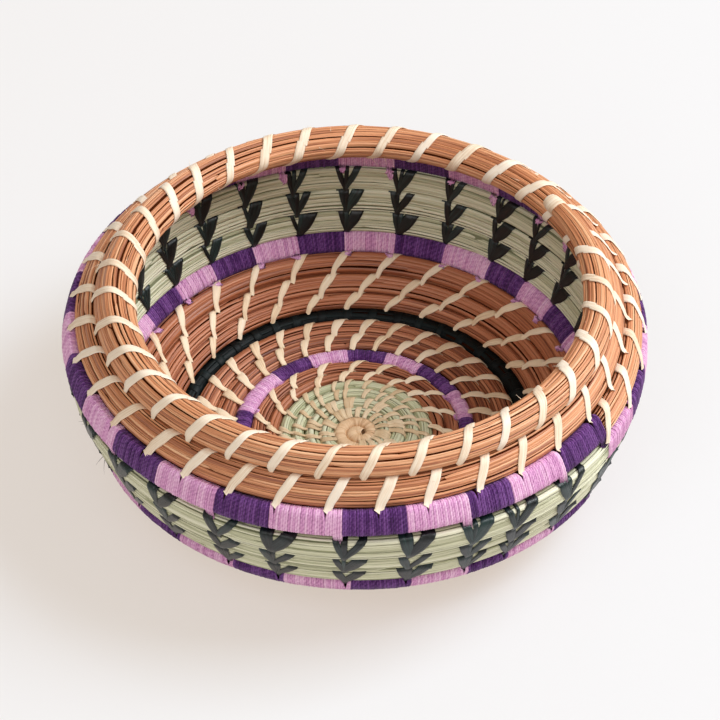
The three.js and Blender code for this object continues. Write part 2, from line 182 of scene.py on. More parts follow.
# The lean begins this many turns before the base ring ends, and comes in over this many turns
RISE_START = 0.03
RISE_TURNS = 0.12

# How square the bundle's section is, where 2 is round and 8 is nearly square
SQUARE_TURNS = (GRASS_FLOOR_END, FLOOR_BAND_END, 9.4, OUTER_FLOOR_END, BASE_RING_END, 10.6, 12.4, 12.9,
                13.48, LOWER_WALL_END, 14.48, LOWER_BAND_END, 17.48, GRASS_WALL_END, UPPER_BAND_END,
                19.5, COIL_END)
SQUARENESS = (2.4, 2.8, 2.8, 2.0, 2.0, 4.0, 4.0, 2.8, 2.6, 3.7, 3.7, 8.0, 8.0, 4.8, 4.8, 3.4, 2.6)

# Where the coil lies, in mm, the direction in which the bands change, how far the coil drifts to
# the left and the front for each mm that it rises, and the steps in which a turn is worked out
START_RADIUS = 0.6
CENTRE = (0.790, 1.529)
FLOOR_LEVEL = 3.34
CHANGE_ANGLE = math.radians(-32)
DRIFT = (-0.019, -0.061)
STEPS = 96

# The rim is fatter for a stretch on the left, and its end tapers and is rounded. In turns.
RIM_SWELL = 0.2
RIM_SWELL_TURN = 20.089
RIM_SWELL_SPREAD = 0.15
TAPER = 0.10
TAPER_SHARE = 0.45
CAP = 0.005

turns = np.arange(int(COIL_START * STEPS), int(COIL_END * STEPS) + 2) / STEPS
coil_thick = np.interp(turns, THICKNESS_TURNS, THICKNESS)
coil_thick *= 1 + RIM_SWELL * np.exp(-((turns - RIM_SWELL_TURN) / RIM_SWELL_SPREAD) ** 2)


def smooth(x):
    """0 to 1, starting and ending gently."""
    x = np.clip(x, 0, 1)
    return x * x * (3 - 2 * x)


def lean_at(u):
    """Lean of the line from the row before to this one, in radians: 0 on the floor."""
    rising = smooth((u - BASE_RING_END + RISE_START) / RISE_TURNS)
    return rising * np.radians(np.interp(u - 0.5, LEAN_TURNS, LEANS))


row_radius = np.zeros(len(turns))
row_height = np.zeros(len(turns))
row_lean = lean_at(turns)
apart = (coil_thick[STEPS:] + coil_thick[:-STEPS]) / 2
row_radius[:STEPS] = START_RADIUS + (turns[:STEPS] - COIL_START) * apart[0]
for k in range(STEPS, len(turns)):
    row_radius[k] = row_radius[k - STEPS] + apart[k - STEPS] * math.cos(row_lean[k])
    row_height[k] = row_height[k - STEPS] + apart[k - STEPS] * math.sin(row_lean[k])
row_tilt = (lean_at(turns) + lean_at(turns + 1)) / 2


def radius_at(u):
    """Distance of the coil's centre line from the basket's middle, in mm."""
    return np.interp(u, turns, row_radius)


def half_at(u):
    """Half the coil's thickness, which tapers off and is rounded at the rim's end."""
    end = np.clip((u - COIL_END + TAPER) / TAPER, 0, 1)
    cap = np.clip((u - COIL_END + CAP) / CAP, 0, 0.97)
    return np.interp(u, turns, coil_thick) / 2 * (1 - TAPER_SHARE * end) * np.sqrt(1 - cap ** 2)


def section(u, angle, lift=0.0):
    """A place on the bundle's own outline and the way it faces there, as s, n and s, n. Angle 0
    looks back at the row before, a quarter turn looks out of the bowl, and lift is mm off it."""
    square = np.interp(u, SQUARE_TURNS, SQUARENESS)
    c, q = np.cos(angle), np.sin(angle)
    reach = (half_at(u) + lift) / (np.abs(c) ** square + np.abs(q) ** square) ** (1 / square)
    face_s = -np.sign(c) * np.abs(c) ** (square - 1)
    face_n = -np.sign(q) * np.abs(q) ** (square - 1)
    return -reach * c, -reach * q, face_s, face_n


def across_and_in(u, s, n):
    """The direction of s towards the next row and n into the bowl."""
    angle = CHANGE_ANGLE + 2 * np.pi * (u - START_END)
    tilt = np.interp(u, turns, row_tilt)
    outward = s * np.cos(tilt) - n * np.sin(tilt)
    upward = s * np.sin(tilt) + n * np.cos(tilt)
    return np.stack([outward * np.cos(angle), outward * np.sin(angle), upward], -1)


def on_coil(u, s, n):
    """Places in mm, from turns u along the coil, s towards the next row and n into the bowl."""
    u, s, n = np.broadcast_arrays(np.asarray(u, float), s, n)
    angle = CHANGE_ANGLE + 2 * np.pi * (u - START_END)
    reach = radius_at(u)
    height = np.interp(u, turns, row_height)
    middle = np.stack([reach * np.cos(angle), reach * np.sin(angle), height], -1)
    point = middle + across_and_in(u, s, n)
    up_from_floor = point[..., 2].copy()
    point[..., 0] += CENTRE[0] + DRIFT[0] * up_from_floor
    point[..., 1] += CENTRE[1] + DRIFT[1] * up_from_floor
    point[..., 2] += FLOOR_LEVEL
    return point


def unit(vectors):
    """The same directions, each of length 1."""
    return vectors / np.maximum(np.linalg.norm(vectors, axis=-1, keepdims=True), 1e-9)


def lengthwise(points):
    """How far each point is along a line of points."""
    steps = np.linalg.norm(np.diff(points, axis=0), axis=1)
    return np.concatenate([[0], np.cumsum(steps)])


def turns_of(mm, u):
    """Turns that a length along the coil takes at u."""
    return mm / (2 * np.pi * np.maximum(radius_at(u), 2.5))


def lie_of(u, s, n, face_s, face_n):
    """The middle line of a strand along u, s and n, with its sideways and outward directions."""
    middle = on_coil(u, s, n)
    face = unit(across_and_in(u, face_s, face_n))
    ahead = unit(np.gradient(middle, axis=0))
    side = unit(np.cross(face, ahead))
    return middle, side, np.cross(ahead, side)


def hole_below(u, down, is_inside, lift=0.14):
    """The place of a hole in the face of the row before, down mm from the seam, as s and n."""
    half = half_at(u - 1)
    square = np.interp(u - 1, SQUARE_TURNS, SQUARENESS)
    rise = half * (1 - (1 - down / half) ** square) ** (1 / square) + lift
    away = on_coil(u - 1, half - down, np.where(is_inside, rise, -rise)) - on_coil(u, 0, 0)
    return (away * across_and_in(u, 1, 0)).sum(-1), (away * across_and_in(u, 0, 1)).sum(-1)


# The lowest level of any strand in mm, a hair above the table
STANDING = 0.02


class Strands:
    """Gathers many strands into one mesh. Each point keeps its lie: how far it is along its own
    strand and across it, in mm, and the strand's own tone from 0 to 1. Where the basket stands,
    its strands are pressed flat by the table."""

    def __init__(self):
        self.points, self.faces, self.lies, self.count = [], [], [], 0

    def add(self, rings, along, across, tone):
        """A strand through rings of points, each ring closed round it."""
        many, size = rings.shape[:2]
        lie = np.empty((many, size, 3))
        lie[..., 0] = np.asarray(along)[:, None]
        lie[..., 1] = across
        lie[..., 2] = tone
        first = self.count + (np.arange(many - 1) * size)[:, None]
        j = np.arange(size)
        k = (j + 1) % size
        quads = np.stack([first + j, first + k, first + size + k, first + size + j], -1)
        rings[..., 2] = np.maximum(rings[..., 2], STANDING)
        self.points.append(rings.reshape(-1, 3))
        self.faces.append(quads.reshape(-1, 4))
        self.lies.append(lie.reshape(-1, 3))
        self.count += many * size

    def finish(self, name, material, slot, *nodes):
        """The piece itself, riding on the basket and standing for its CAD nodes."""
        points = np.concatenate(self.points) * MM
        faces = np.concatenate(self.faces)
        mesh = bpy.data.meshes.new(name)
        mesh.vertices.add(len(points))
        mesh.vertices.foreach_set("co", points.ravel())
        mesh.loops.add(faces.size)
        mesh.loops.foreach_set("vertex_index", faces.ravel())
        mesh.polygons.add(len(faces))
        mesh.polygons.foreach_set("loop_start", np.arange(0, faces.size, 4))
        mesh.polygons.foreach_set("use_smooth", np.ones(len(faces), bool))
        mesh.update(calc_edges=True)
        lie = mesh.attributes.new("lie", "FLOAT_VECTOR", "POINT")
        lie.data.foreach_set("vector", np.concatenate(self.lies).ravel())
        mesh.materials.append(material)
        piece = bpy.data.objects.new(name, mesh)
        bpy.context.scene.collection.objects.link(piece)
        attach(piece, "root")
        if nodes:
            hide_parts(*nodes)
        return piece


# The heart closes at its ends over these mm. Towards a seam, from this cosine on, it reaches these
# mm past the bundle's skin.
HEART_CLOSING = 1.5
HEART_CORNERS = 20
SEAM_FROM = 0.88
SEAM_REACH = 0.3


def heart(strands, u0, u1, inset):
    """The inside of the bundle, inset mm under its skin and coloured dark as painted shade. It reaches
    into the seams with the rows beside it, and runs on under the pieces before and after it,
    closing there, so that no light shows through."""
    before, after = turns_of(HEART_CLOSING, u0), turns_of(HEART_CLOSING, u1)
    first, last = max(COIL_START, u0 - before), min(COIL_END, u1 + after)
    at = np.concatenate([np.linspace(first, first + before, 5)[:-1],
                         np.linspace(first + before, last - after, int((u1 - u0) * STEPS) + 2),
                         np.linspace(last - after, last, 5)[1:]])
    mm = (at - first) * 2 * np.pi * radius_at(at)
    nearer_end = np.minimum(mm, mm[-1] - mm)
    closing = smooth(nearer_end / HEART_CLOSING + 0.02)
    corner = np.arange(HEART_CORNERS) * 2 * np.pi / HEART_CORNERS
    s, n = section(at[:, None], corner, -inset)[:2]
    back = np.cos(corner)
    towards_row = np.where(at[:, None] + 1 < COIL_END, np.abs(back), back)
    seam = smooth((towards_row - SEAM_FROM) / (1 - SEAM_FROM))
    reach = 1 + (inset + SEAM_REACH) * seam / half_at(at)[:, None]
    rings = on_coil(at[:, None], s * reach * closing[:, None], n * closing[:, None])
    strands.add(rings, mm, corner[None] * 0, -1)


# Start of the coil. A snail of a few stalks, wrapped closely in raffia that has aged to tan, so
# that it can be bent round on itself. The strips lie side by side across the stalks.
START_STRIP_WIDE = 1.15
START_WRAP_END = 0.36
STRIP_THICK = 0.2
STRIP_POINTS = 7
WRAP_STEPS = 29


def strip(strands, u, s, n, face_s, face_n, wide, rng, tone, crown=0.1):
    """One strip of raffia leaf along the places u, s, n, its flat face looking outwards."""
    middle, side, face = lie_of(u, s, n, face_s, face_n)
    v = np.linspace(-1, 1, STRIP_POINTS)
    crease = rng.normal(0, 0.03, STRIP_POINTS)
    crease[[0, -1]] = 0
    top = crown * (1 - v ** 2) + crease
    v = np.concatenate([v, v[::-1]])
    h = np.concatenate([top + STRIP_THICK / 2, top[::-1] - STRIP_THICK / 2])
    h[np.abs(v) == 1] *= 0.3
    wide = np.broadcast_to(np.asarray(wide, float), u.shape)
    rings = (middle[:, None] + side[:, None] * (v * wide[:, None] / 2)[..., None]
             + face[:, None] * (h * np.clip(wide[:, None], 0.3, 1))[..., None])
    strands.add(rings, lengthwise(middle) + 40 * tone, v[None] * wide[:, None] / 2, tone)


def raffia_leaf(name, dark, middle, light, rough, shine=0.5):
    """Split raffia leaf: fine parallel fibres, about three to a millimetre and 8 mm long, and
    creases along the strip. The dry leaf has a satin face. Each strip has its own tone."""
    material, tree = new_material(name)
    lie = node(tree, "Attribute", {"attribute_name": "lie"})
    tone = node(tree, "SeparateXYZ", Vector=lie.outputs["Vector"]).outputs["Z"]
    drawn_out = node(tree, "VectorMath", {"operation": "MULTIPLY"}, _0=lie.outputs["Vector"],
                     _1=(0.12, 3.2, 71.0))
    fibre = node(tree, "TexNoise", Vector=drawn_out, Scale=1.0, Detail=4.0, Roughness=0.6)
    value = node(tree, "Math", {"operation": "MULTIPLY_ADD"}, _0=fibre, _1=1.2, _2=-0.28)
    value = node(tree, "Math", {"operation": "MULTIPLY_ADD", "use_clamp": True}, _0=tone, _1=0.35,
                 _2=value)
    ramp = node(tree, "ValToRGB", Fac=value)
    steps = ramp.color_ramp.elements
    steps[0].color, steps[1].color = colour(dark), colour(light)
    steps.new(0.45).color = colour(middle)
    raised = node(tree, "Bump", Strength=0.5, Distance=0.0003, Height=fibre)
    shader = node(tree, "BsdfPrincipled", Base_Color=ramp, Roughness=rough, Normal=raised,
                  Specular_IOR_Level=shine)
    node(tree, "OutputMaterial", Surface=shader)
    return material


def wrapped(strands, u0, u1, wide, rng, gap=1.0, lift=0.0):
    """A stretch of the coil wrapped in strips of raffia, gap times their width from one to the
    next."""
    u = u0
    while u < u1:
        step = turns_of(wide * gap * rng.uniform(0.85, 1.1), u)
        t = np.linspace(0, 1, WRAP_STEPS)
        place = np.clip(u + turns_of(wide, u) * 0.4 * (t - 0.5), u0, u1)
        s, n, face_s, face_n = section(place, 2 * np.pi * t, lift - STRIP_THICK / 2)
        strip(strands, place, s, n, face_s, face_n, wide * rng.uniform(1.0, 1.25), rng, rng.uniform(0, 1),
              0.05 * wide)
        u += step


tan_leaf = raffia_leaf("aged_raffia_leaf", "B88A62", "E2BC92", "F6DCB8", 0.55)
strands = Strands()
wrapped(strands, COIL_START, START_WRAP_END, START_STRIP_WIDE, np.random.default_rng(42), gap=0.75)
heart(strands, COIL_START, START_WRAP_END + 0.02, inset=0.35)
strands.finish("start_raffia_wrap_strips", tan_leaf, "cream_raffia", "start_raffia_wrap")


# Grass floor. Thin stalks of pale green grass, dried and laid side by side, each running its own
# length in the bundle. Their smooth skin gives a soft lengthwise gleam, with shade between them.
STALK_WIDTHS = (0.5, 0.75, 1.0, 1.6)
STALK_SWELLS = (0.85, 0.96, 1.12, 1.2, 1.3)
STALK_DEPTHS = (0, 0.1, 0.22)

# An end of a stalk goes under its neighbours over the first of these, in mm, and narrows over the
# second
TUCK_LENGTH = 7
POINT_LENGTH = 3


def needle(strands, u, s, n, face_s, face_n, wide, thick, turned, tone, points=6):
    """One needle or stalk of flattened section along u. face is where its flat side looks."""
    middle, side, face = lie_of(u, s, n, face_s, face_n)
    c, q = np.cos(turned), np.sin(turned)
    side, face = side * c + face * q, face * c - side * q
    corner = np.arange(points) * 2 * np.pi / points + np.pi / points
    rings = (middle[:, None]
             + side[:, None] * (np.cos(corner) * wide[:, None] / 2)[..., None]
             + face[:, None] * (np.sin(corner) * thick[:, None] / 2)[..., None])
    strands.add(rings, lengthwise(middle), np.cos(corner) * wide[:, None] / 2, tone)


def bundle(name, u0, u1, material, slot, node_name, wide, thick, lengths, seed):
    """The coil's bundle from u0 to u1. Needles or stalks of uneven width lie side by side all
    round it over a dark heart, each running its own length and tucked in at both ends. Widths,
    thickness and lengths are in mm."""
    rng = np.random.default_rng(seed)
    strands = Strands()
    half = half_at((u0 + u1) / 2)
    widths = []
    while sum(widths) < 2 * np.pi * half:
        widths.append(wide * rng.choice(STALK_WIDTHS) * rng.uniform(0.9, 1.1))
    edges = np.cumsum([0] + widths) / sum(widths)
    for lane, own in enumerate(widths):
        u = u0 - rng.uniform(0, 0.5) * turns_of(lengths[0], u0)
        while u < u1:
            length = turns_of(rng.uniform(*lengths), u)
            start, end = max(u, u0), min(u + length, u1)
            u += length * 0.97
            if end - start < 0.02:
                continue
            at = np.linspace(start, end, max(4, int((end - start) * STEPS) + 1))
            mm = (at - start) * 2 * np.pi * radius_at(at)
            left = mm[-1] - mm
            tuck = (1 - smooth(mm / TUCK_LENGTH)) * (start > u0)
            tuck = tuck + (1 - smooth(left / TUCK_LENGTH)) * (end < u1)
            drift = np.sin(mm / rng.uniform(16, 55) + rng.uniform(0, 6.3)) * rng.uniform(0.05, 0.36)
            around = np.pi * (edges[lane] + edges[lane + 1]) + drift * own / half
            lift = -thick * (0.42 + rng.choice(STALK_DEPTHS) + 0.9 * tuck)
            s, n, face_s, face_n = section(at, around, lift)
            ends = smooth(np.minimum(mm, left) / POINT_LENGTH + 0.25)
            swell = rng.choice(STALK_SWELLS)
            swell += 0.12 * np.sin(mm / rng.uniform(6, 25) + rng.uniform(0, 6.3))
            size = own * ends * swell * half_at(at) / half
            needle(strands, at, s, n, face_s, face_n, size, thick * ends * rng.uniform(0.85, 1.1),
                   rng.uniform(-0.25, 0.25), rng.uniform(0, 1))
    heart(strands, u0, u1, thick * 0.92)
    strands.finish(name, material, slot, node_name)


def dried_stalk(name, dark, middle, light, shade, rough, streak):
    """Dried needle or grass: each stalk has its own tone, with streaks three to a millimetre and
    some 30 mm long that run along it. The heart of the bundle is in shade."""
    material, tree = new_material(name)
    lie = node(tree, "Attribute", {"attribute_name": "lie"})
    along, _, tone = node(tree, "SeparateXYZ", Vector=lie.outputs["Vector"]).outputs
    drawn_out = node(tree, "VectorMath", {"operation": "MULTIPLY"}, _0=lie.outputs["Vector"],
                     _1=(0.035, 3.0, 97.0))
    fibre = node(tree, "TexNoise", Vector=drawn_out, Scale=1.0, Detail=3.0)
    along = node(tree, "Math", {"operation": "MULTIPLY"}, _0=along, _1=0.03)
    own_place = node(tree, "Math", {"operation": "MULTIPLY"}, _0=tone, _1=43.0)
    patch_at = node(tree, "CombineXYZ", X=along, Y=own_place)
    patch = node(tree, "TexNoise", Vector=patch_at, Scale=1.0, Detail=1.0)
    streaks = node(tree, "Math", {"operation": "MULTIPLY_ADD"}, _0=fibre, _1=streak * 1.5,
                   _2=-streak * 0.75)
    patches = node(tree, "Math", {"operation": "MULTIPLY_ADD"}, _0=patch, _1=0.4, _2=-0.05)
    mixed = node(tree, "Math", {"operation": "MULTIPLY_ADD"}, _0=tone, _1=0.5, _2=streaks)
    mixed = node(tree, "Math", {"operation": "ADD", "use_clamp": True}, _0=mixed, _1=patches)
    ramp = node(tree, "ValToRGB", Fac=mixed)
    steps = ramp.color_ramp.elements
    steps[0].color, steps[1].color = colour(dark), colour(light)
    steps.new(0.4).color = colour(middle)
    in_shade = node(tree, "Math", {"operation": "LESS_THAN"}, _0=tone, _1=-0.5)
    final = node(tree, "Mix", {"data_type": "RGBA"}, _0=in_shade, _6=ramp, _7=colour(shade))
    raised = node(tree, "Bump", Strength=0.3, Distance=0.0002, Height=fibre)
    shine = node(tree, "Math", {"operation": "MULTIPLY_ADD"}, _0=in_shade, _1=-0.7, _2=0.7)
    shader = node(tree, "BsdfPrincipled", Base_Color=final.outputs[2], Roughness=rough, Normal=raised,
                  Specular_IOR_Level=shine)
    node(tree, "OutputMaterial", Surface=shader)
    return material


grass_aged = dried_stalk("aged_floor_grass", "979A70", "C9CAA4", "E6E6CE", "74744E", 0.55, 0.8)
bundle("floor_grass", START_WRAP_END, GRASS_FLOOR_END, grass_aged, "grass", "floor_grass_coil",
       wide=0.85, thick=0.5, lengths=(60, 120), seed=3)


# Needle floor. Long pine needles fill the coil from here on. Those of the floor and the lower
# wall have dried to a redder brown than those of the rim.
needles_brown = dried_stalk("brown_pine_needles", "6A3018", "B66D46", "DA9772", "3A1A0D", 0.5, 0.9)
bundle("floor_needles", GRASS_FLOOR_END, NEEDLE_FLOOR_END, needles_brown, "needles", "floor_needle_coil",
       wide=0.85, thick=0.5, lengths=(90, 170), seed=4)


# Floor sewing. Strips of cream raffia go over the row, through the seam, back round it and through
# the top of the row before. Pulled tight, they are narrow where they go in. They are crowded on
# the grass in the middle.
FACE_START = 0.2
STITCH_STEPS = 18
STITCH_LIFT = 0.12

# Pale cream on the rim, and darkened by use in the middle. On the floor and the lower wall, which lie in
# shade, the same cream is painted warmer and darker: painted shade, warmed by the light off the needles
cream_leaf = raffia_leaf("natural_raffia_leaf", "DCB68F", "FAE7CE", "FFF6EA", 0.5)
# The cream raffia in painted warm shade, for the stitches that lie in the bowl's shade
shade_warmed_cream_leaf = raffia_leaf("cream_raffia_leaf_painted_warm_shade", "D2AA80", "F6DDBA", "FFF0DA", 0.5)
aged_leaf = raffia_leaf("darkened_raffia_leaf", "B2936A", "DEC39C", "F4E2C4", 0.55)


def over_row(place, t, turned, lift, hole, leaving, is_inside):
    """The path of a strip over one face of its row, as t goes from 0 to 1 through turned half
    turns, lift mm off the bundle. It comes from a hole in the row before, hole mm below the seam,
    which it has left by the share leaving."""
    s, n, face_s, face_n = section(place, np.pi * (FACE_START + turned * t), lift)
    if is_inside:
        n, face_n = -n, -face_n
    start = 1 - smooth(t / leaving)
    hole_s, hole_n = hole_below(place, hole, is_inside)
    s, n = s * (1 - start) + hole_s * start, n * (1 - start) + hole_n * start
    return s, n, face_s * (1 - start), face_n + np.sign(hole_n) * start


def stitch(strands, u, step, lean, wide, rng, hole, tip, full, tail, jitter=0.03):
    """One stitch on both faces of its row, from the hole in the row before to the next seam. Its
    width grows from the share tip at the hole to all of it at the share full of its length, and
    falls to the share tail."""
    tone = rng.uniform(0, 1)
    own = wide * rng.uniform(0.86, 1.12)
    nudge = rng.normal(0, jitter) * step
    for is_inside in (False, True):
        t = np.linspace(0, 1, STITCH_STEPS)
        if is_inside:
            place = u + nudge + step * (lean + (1 - lean) * (1 - t))
        else:
            place = u + nudge + step * lean * t
        s, n, face_s, face_n = over_row(place, t, 0.83, STITCH_LIFT, hole, 0.16, is_inside)
        shape = (tip + (1 - tip) * smooth(t / full)) * (1 - (1 - tail) * smooth((t - 0.6) / 0.4))
        strip(strands, place, s, n, face_s, face_n, own * shape, rng, tone)


def sewing(strands, u0, u1, per_turn, lean, wide, seed, **form):
    """A band's stitches, one after another. Outside, a stitch moves on along the coil by the share
    lean of its step, and inside by the rest."""
    rng = np.random.default_rng(seed)
    for k in range(int((u1 - u0) * per_turn)):
        stitch(strands, u0 + k / per_turn, 1 / per_turn, lean, wide, rng, **form)


FIBRE_THICK = 0.17


def loose_fibres(strands, places, angles, long, rng):
    """Fine fibres that have split off, at an angle round the bundle, and stick out."""
    for u in places:
        t = np.linspace(0, 1, 8)
        angle = rng.uniform(*angles)
        reach = long * rng.uniform(0.4, 1)
        place = u + turns_of(rng.normal(0, 0.7) + reach * rng.uniform(-1, 1) * t, u)
        s, n, face_s, face_n = section(place, angle + rng.uniform(-0.3, 0.3) * t, 0.1 + reach * 0.8 * t)
        thin = FIBRE_THICK * (1.1 - t)
        needle(strands, place, s, n, face_s, face_n, thin, thin, 0, rng.uniform(0, 1), 4)


strands = Strands()
sewing(strands, 0.3, START_END, per_turn=22, lean=0.4, wide=1.7, seed=20,
       hole=0.6, tip=0.85, full=0.4, tail=1.0, jitter=0.3)
sewing(strands, START_END, START_END + 1, per_turn=25, lean=0.4, wide=1.8, seed=21,
       hole=0.7, tip=0.75, full=0.4, tail=0.95, jitter=0.28)
sewing(strands, START_END + 1, GRASS_FLOOR_END, per_turn=24, lean=0.4, wide=1.5, seed=21,
       hole=0.8, tip=0.7, full=0.4, tail=0.9, jitter=0.2)
strands.finish("grass_floor_raffia_stitches", aged_leaf, "cream_raffia")
strands = Strands()
sewing(strands, GRASS_FLOOR_END, NEEDLE_FLOOR_END, per_turn=18.4, lean=0.42, wide=1.9, seed=22,
       hole=0.9, tip=0.78, full=0.35, tail=0.95, jitter=0.06)
strands.finish("floor_raffia_stitches", shade_warmed_cream_leaf, "cream_raffia", "floor_raffia")


# Floor band. Soft plied craft thread, wound turn beside turn round the needles, pink and purple by
# turns. It has a matt, slightly fuzzy face with fine ridges one thread apart.
THREAD_PITCH = 0.64
THREAD_THICK = 0.52
THREAD_CORNERS = 5

# A turn of thread slants by this share of its pitch, and steps over to the next in this share of
# the turn. A stitch of the next row parts the turns by this many mm.
WRAP_SLANT = 0.24
STEP_OVER = 0.12
WRAP_POINTS = 26
PARTED = 0.75

FLOOR_BAND_BLOCKS = ((3, 63), (1, 25), (3, 60), (1, 21), (1, 30), (7, 161))
FLOOR_BAND_TABS = (0.5, 0.9, 0.9)


def block_edges(from_turn, runs):
    """Turns at the edges of the blocks: runs of how many, and the degrees they take together."""
    edges = [from_turn]
    for count, degrees in runs:
        start = edges[-1]
        edges += [start + i * degrees / count / 360 for i in range(1, count + 1)]
    return edges


def wound_thread(strands, u0, u1, rng, tabs, holes, puff):
    """Thread wound round the coil from u0 to u1. Its last turns outside, and its first and last
    inside, are drawn down by tabs mm over the row before: outside, first and last inside. Stitches
    of the next row part it. It stands out by puff mm, on its outer face and at its upper edge."""
    per_mm = 1 / (2 * np.pi * radius_at((u0 + u1) / 2))
    wraps = max(3, round((u1 - u0) / per_mm / THREAD_PITCH))
    pitch = (u1 - u0) / wraps
    wrap = np.arange(wraps * WRAP_POINTS + 1) / WRAP_POINTS
    which = np.minimum(wrap.astype(int), wraps - 1)
    part = wrap - which
    after = np.minimum(which + 1, wraps - 1)
    step = smooth((part - 1 + STEP_OVER) / STEP_OVER)

    def own(values):
        """Each wrap's own value, passing over to the next one's at the seam."""
        return values[which] * (1 - step) + values[after] * step

    angle = 2 * np.pi * part
    slanted = WRAP_SLANT * (part - 0.5) + (1 - WRAP_SLANT) * step * (which < wraps - 1)
    at = u0 + pitch * (which + 0.5 + slanted + own(rng.normal(0, 0.07, wraps)))
    s, n, face_s, face_n = section(at, angle, own(rng.normal(0, 0.035, wraps)) - THREAD_THICK / 2)
    outside = np.sin(angle) > 0
    n = n - puff[0] * np.clip(np.sin(angle), 0, 1)
    s = s + puff[1] * np.clip(-np.sin(2 * angle), 0, 1) * outside
    first = np.clip(2 - which / 2, 0, 1)
    last = np.clip(2 - (wraps - 1 - which) / 2, 0, 1)
    drop = np.where(outside, tabs[0] * last, np.maximum(tabs[1] * first, tabs[2] * last))
    seam = np.clip(1 - np.minimum(angle, 2 * np.pi - angle) * 3 / np.pi, 0, 1)
    here = smooth(seam / 0.3) * (drop > 0)
    deep = drop * np.maximum((seam - 0.2) / 0.8, 0.1)
    hole_s, hole_n = hole_below(at, deep, ~outside, THREAD_THICK * 0.6)
    s, n = s * (1 - here) + hole_s * here, n * (1 - here) + hole_n * here
    at = at + (np.where(outside | (which > wraps / 2), u1, u0) - at) * 0.12 * here
    for hole in holes:
        off = (at - hole) / per_mm
        near = np.exp(-(off / 1.2) ** 2) * np.clip((-np.cos(angle) - 0.25) / 0.75, 0, 1) * outside
        at = at + np.sign(off) * PARTED * near * per_mm
        n = n + 0.2 * near
    middle, side, face = lie_of(at, s, n, face_s, face_n)
    corner = np.arange(THREAD_CORNERS) * 2 * np.pi / THREAD_CORNERS + np.pi / 2
    rings = (middle[:, None]
             + side[:, None] * (np.cos(corner) * THREAD_PITCH * 0.7)[:, None]
             + face[:, None] * (np.sin(corner) * THREAD_THICK / 2)[:, None])
    tone = own(rng.uniform(0, 1, wraps))[:, None]
    strands.add(rings, lengthwise(middle), np.cos(corner)[None] * THREAD_PITCH / 2, tone)


def cotton_thread(name, dark, middle, light):
    """Plied cotton: matt, with a twist every 1.5 mm, fuzz of about 0.5 mm and slubs of about 3 mm.
    Each wrap has painted shade towards its edges.
    """
    material, tree = new_material(name)
    lie = node(tree, "Attribute", {"attribute_name": "lie"})
    along, across, tone = node(tree, "SeparateXYZ", Vector=lie.outputs["Vector"]).outputs
    twist = node(tree, "Math", {"operation": "MULTIPLY_ADD"}, _0=across, _1=1.6, _2=along)
    twist = node(tree, "Math", {"operation": "MULTIPLY"}, _0=twist, _1=4.2)
    twist = node(tree, "Math", {"operation": "SINE"}, _0=twist)
    place = node(tree, "TexCoord").outputs["Object"]
    fuzz = node(tree, "TexNoise", Vector=place, Scale=2200.0, Detail=2.0)
    patch = node(tree, "TexNoise", Vector=place, Scale=330.0, Detail=2.0)
    # Painted shade: each wrap is darker towards its edges, as in the grooves between the wraps
    edge = node(tree, "Math", {"operation": "MULTIPLY"}, _0=across, _1=across)
    value = node(tree, "Math", {"operation": "MULTIPLY"}, _0=tone, _1=0.45)
    value = node(tree, "Math", {"operation": "MULTIPLY_ADD"}, _0=fuzz, _1=0.95, _2=value)
    value = node(tree, "Math", {"operation": "MULTIPLY_ADD"}, _0=patch, _1=0.45, _2=value)
    value = node(tree, "Math", {"operation": "MULTIPLY_ADD"}, _0=twist, _1=0.10, _2=value)
    value = node(tree, "Math", {"operation": "MULTIPLY_ADD"}, _0=edge, _1=-3.2, _2=value)
    value = node(tree, "Math", {"operation": "ADD", "use_clamp": True}, _0=value, _1=-0.25)
    ramp = node(tree, "ValToRGB", Fac=value)
    steps = ramp.color_ramp.elements
    steps[0].color, steps[1].color = colour(dark), colour(light)
    steps.new(0.5).color = colour(middle)
    raised = node(tree, "Bump", Strength=0.4, Distance=0.0002, Height=fuzz)
    shader = node(tree, "BsdfPrincipled", Base_Color=ramp, Roughness=0.85, Normal=raised,
                  Sheen_Weight=0.1, Sheen_Roughness=0.5, Specular_IOR_Level=0.25)
    node(tree, "OutputMaterial", Surface=shader)
    return material


pink_cotton = cotton_thread("pink_cotton_thread", "A46498", "DA9CCB", "F4CBE7")
purple_cotton = cotton_thread("purple_cotton_thread", "2B0E37", "502466", "805096")


def thread_band(band, edges, holes, tabs, puff=(0, 0)):
    """A whole band: a needle core, and the blocks of the two threads round it."""
    strands = Strands()
    heart(strands, edges[0], edges[-1], THREAD_THICK * 0.75)
    strands.finish(band + "_needle_core", needles_brown, "needles", band + "_core")
    rng = np.random.default_rng(int(edges[0] * 10))
    for first, tint, cotton in ((0, "pink", pink_cotton), (1, "purple", purple_cotton)):
        strands = Strands()
        for u0, u1 in zip(edges[first:-1:2], edges[first + 1::2]):
            near = [hole for hole in holes if u0 - 0.01 < hole < u1 + 0.01]
            drawn_down = tint == "pink" or u1 == edges[-1]
            wound_thread(strands, u0, u1, rng, tabs if drawn_down else (0, 0, 0), near, puff)
        strands.finish(f"{band}_{tint}_threads", cotton, f"{tint}_thread", f"{band}_{tint}_thread")


thread_band("floor_band", block_edges(NEEDLE_FLOOR_END, FLOOR_BAND_BLOCKS), [], FLOOR_BAND_TABS)


# Outer floor. Needles again, sewn with broader raffia that is blunt at the outer seam and narrower
# towards the middle.
bundle("outer_floor_needles", FLOOR_BAND_END, OUTER_FLOOR_END, needles_brown, "needles",
       "outer_floor_coil", wide=0.9, thick=0.5, lengths=(110, 210), seed=5)
strands = Strands()
sewing(strands, FLOOR_BAND_END, OUTER_FLOOR_END, per_turn=31.4, lean=0.44, wide=2.6, seed=23,
       hole=1.1, tip=0.6, full=0.45, tail=0.95)
strands.finish("outer_floor_raffia_stitches", shade_warmed_cream_leaf, "cream_raffia", "outer_floor_raffia")


